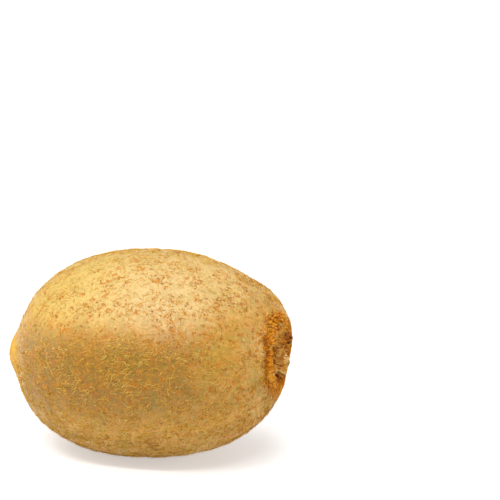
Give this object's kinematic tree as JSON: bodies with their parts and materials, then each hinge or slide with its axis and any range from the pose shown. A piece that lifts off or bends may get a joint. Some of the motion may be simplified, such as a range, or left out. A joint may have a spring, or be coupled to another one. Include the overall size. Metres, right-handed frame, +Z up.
{
  "type": "kiwi fruit",
  "caption": "Whole hairy kiwi fruit lying on its side, with a beaked end and dried sepals and stamens round the stalk scar.",
  "frame": {"origin": "middle of the rest plane straight below the fruit's centre of mass, on the flat spot that it lies on", "axes": "+X along the fruit towards the stalk scar, +Z up from the surface that it lies on, -X towards the beak"},
  "size_m": [0.0707, 0.0524, 0.0485],
  "materials": {
    "skin": "thin tan-olive fruit skin under short golden-brown hairs, soft sheen",
    "dried_sepal": "dry, matte, brown plant tissue",
    "dried_style": "dry, matte, dark brown plant tissue"
  },
  "bodies": {
    "root": {"fruit": "skin", "dried_calyx": "dried_sepal", "dried_styles": "dried_style"}
  },
  "joints": []
}
